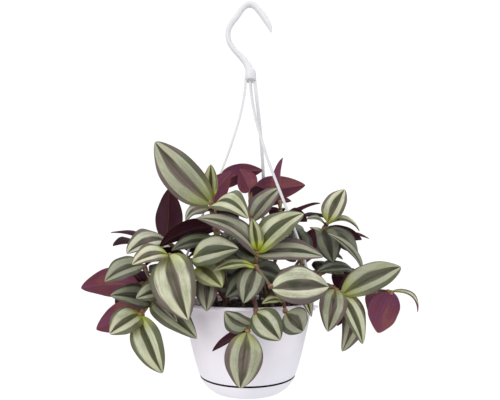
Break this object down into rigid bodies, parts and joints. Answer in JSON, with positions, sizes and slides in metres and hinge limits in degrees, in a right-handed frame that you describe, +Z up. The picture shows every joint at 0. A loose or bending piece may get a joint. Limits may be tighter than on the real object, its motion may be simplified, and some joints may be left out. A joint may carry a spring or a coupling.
{
  "type": "potted tradescantia",
  "caption": "Trailing silver-striped tradescantia in a round plastic hanging pot with a clip-on saucer and a hooked strap hanger.",
  "frame": {"origin": "centre of the saucer's flat underside", "axes": "+Z up along the pot's axis to the hook, -Y towards the front"},
  "size_m": [0.3643, 0.2743, 0.4508],
  "materials": {
    "pot_plastic": "white moulded plastic, faintly lilac, satin",
    "hanger_plastic": "white flexible moulded plastic, satin gloss",
    "soil": "damp near-black peat",
    "foliage": "fleshy leaves with silver and green stripes, purple undersides"
  },
  "bodies": {
    "root": {"saucer": "pot_plastic", "pot": "pot_plastic", "hanger": "hanger_plastic", "soil": "soil", "leafy_stem_01": "foliage", "leafy_stem_02": "foliage", "leafy_stem_03": "foliage", "leafy_stem_04": "foliage", "leafy_stem_05": "foliage", "leafy_stem_06": "foliage", "leafy_stem_07": "foliage", "leafy_stem_08": "foliage", "leafy_stem_09": "foliage", "leafy_stem_10": "foliage", "leafy_stem_11": "foliage", "leafy_stem_12": "foliage", "leafy_stem_13": "foliage", "leafy_stem_14": "foliage", "leafy_stem_15": "foliage", "leafy_stem_16": "foliage", "leafy_stem_17": "foliage", "leafy_stem_18": "foliage", "leafy_stem_19": "foliage", "leafy_stem_20": "foliage", "leafy_stem_21": "foliage", "leafy_stem_22": "foliage", "leafy_stem_23": "foliage", "leafy_stem_24": "foliage", "leafy_stem_25": "foliage", "leafy_stem_26": "foliage", "leafy_stem_27": "foliage", "leafy_stem_28": "foliage", "leafy_stem_29": "foliage"}
  },
  "joints": []
}
